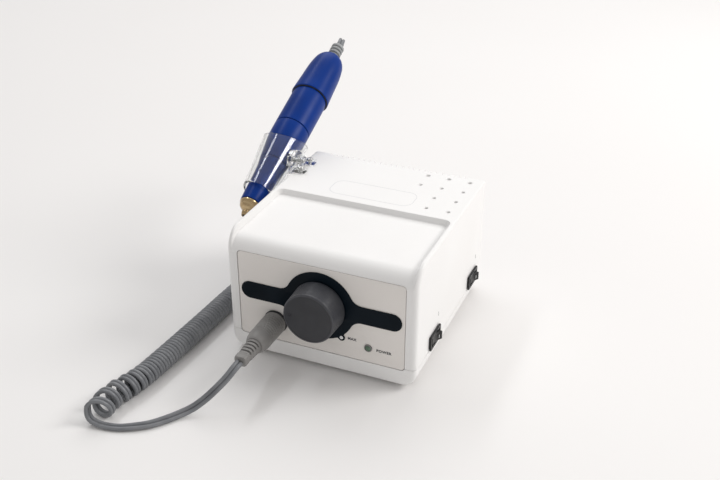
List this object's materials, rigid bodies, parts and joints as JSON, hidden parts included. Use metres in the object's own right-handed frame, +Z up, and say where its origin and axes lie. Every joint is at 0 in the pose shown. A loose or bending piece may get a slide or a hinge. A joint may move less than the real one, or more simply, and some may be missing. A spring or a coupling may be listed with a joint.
{
  "type": "electric nail drill",
  "caption": "Electric nail drill: white control box with speed knob, rocker switches and bur rack, a blue motor handpiece in a clear tilting cradle, and a coiled cord with a plug.",
  "frame": {"origin": "on the surface the box stands on, under the middle of the object without its cord", "axes": "+Z up, the front panel and knob face -Y, the handpiece lies at the -X side with its tail towards +Y"},
  "size_m": [0.1867, 0.3365, 0.1376],
  "materials": {
    "housing_white": "satin moulded ABS",
    "decal_navy": "printed film",
    "knob_anthracite": "satin, fine turned rings on the side",
    "cord_grey": "satin PVC",
    "plug_grey": "satin moulded PVC",
    "black_plastic": "satin",
    "handpiece_blue": "satin anodised",
    "nose_brass": "turned, polished",
    "steel": "turned",
    "heat_sink_aluminium": "extruded",
    "copper": "enamelled copper wire",
    "clear_acrylic": "polished clear acrylic",
    "foot_rubber": "matt",
    "board_green": "solder mask",
    "lamp_lens": "translucent, unlit"
  },
  "bodies": {
    "control_box": {"base_tray": "housing_white", "bracket_screw_front": "steel", "bracket_screw_rear": "steel", "case_screw_front_left": "steel", "case_screw_front_right": "steel", "case_screw_rear_left": "steel", "case_screw_rear_right": "steel", "control_board": "board_green", "cord_coil": "cord_grey", "cradle_bracket": "clear_acrylic", "cradle_pivot_screw": "steel", "cradle_thumb_nut": "black_plastic", "direction_switch_body": "black_plastic", "foot_front_left": "foot_rubber", "foot_front_right": "foot_rubber", "foot_rear_left": "foot_rubber", "foot_rear_right": "foot_rubber", "front_panel": "housing_white", "fuse_holder": "black_plastic", "heat_sink": "heat_sink_aluminium", "led_holder": "housing_white", "led_lens": "lamp_lens", "mains_inlet": "black_plastic", "output_socket": "black_plastic", "panel_overlay": "decal_navy", "pedal_jack": "black_plastic", "potentiometer": "steel", "potentiometer_nut": "steel", "power_switch_body": "black_plastic", "smoothing_capacitor": "black_plastic", "socket_nut": "steel", "tail_on_floor": "cord_grey", "top_cover": "housing_white", "transformer_core": "steel", "transformer_winding": "copper"},
    "knob": {"speed_knob": "knob_anthracite", "knob_shaft": "steel"},
    "power_rocker": {"power_rocker": "black_plastic"},
    "direction_rocker": {"direction_rocker": "black_plastic"},
    "plug": {"plug_housing": "plug_grey", "plug_ferrule": "steel", "plug_boot": "plug_grey", "plug_lead": "cord_grey"},
    "cradle": {"cradle_cup": "clear_acrylic", "tail_hanging": "cord_grey"},
    "handpiece": {"front_housing": "handpiece_blue", "motor_housing": "handpiece_blue", "rear_cap": "handpiece_blue", "strain_relief": "plug_grey", "stator_magnet": "black_plastic", "front_bearing": "steel", "rear_bearing": "steel", "brush_left": "black_plastic", "brush_right": "black_plastic", "tail_at_handpiece": "cord_grey"},
    "chuck": {"chuck_grip": "handpiece_blue", "nose_cone": "nose_brass"},
    "spindle": {"spindle_shaft": "steel", "armature_and_commutator": "copper", "collet": "steel"}
  },
  "joints": [
    {"name": "speed_turn", "type": "hinge", "parent": "control_box", "child": "knob", "pos_m": [0.0152, -0.0985, 0.0464], "axis": [0, 1, 0], "range_deg": [-52, 232]},
    {"name": "power_press", "type": "hinge", "parent": "control_box", "child": "power_rocker", "pos_m": [0.0746, 0.0107, 0.0202], "axis": [0, 0, 1], "range_deg": [0, 22]},
    {"name": "direction_press", "type": "hinge", "parent": "control_box", "child": "direction_rocker", "pos_m": [0.0746, -0.0667, 0.0202], "axis": [0, 0, 1], "range_deg": [0, 22]},
    {"name": "plug_pull", "type": "slide", "parent": "control_box", "child": "plug", "axis": [0, -1, 0], "range_m": [0, 0.016]},
    {"name": "cradle_tilt", "type": "hinge", "parent": "control_box", "child": "cradle", "pos_m": [-0.0503, 0.0035, 0.0884], "axis": [1, 0, 0], "range_deg": [0, 30]},
    {"name": "handpiece_lift", "type": "slide", "parent": "cradle", "child": "handpiece", "axis": [0, 0.9146, 0.4043], "range_m": [0, 0.085]},
    {"name": "chuck_twist", "type": "hinge", "parent": "handpiece", "child": "chuck", "pos_m": [-0.0658, -0.04314, 0.06397], "axis": [0, 0.9146, 0.4043], "range_deg": [0, 60]},
    {"name": "spindle_spin", "type": "hinge", "parent": "handpiece", "child": "spindle", "pos_m": [-0.0658, -0.04314, 0.06397], "axis": [0, 0.9146, 0.4043], "continuous": true}
  ]
}
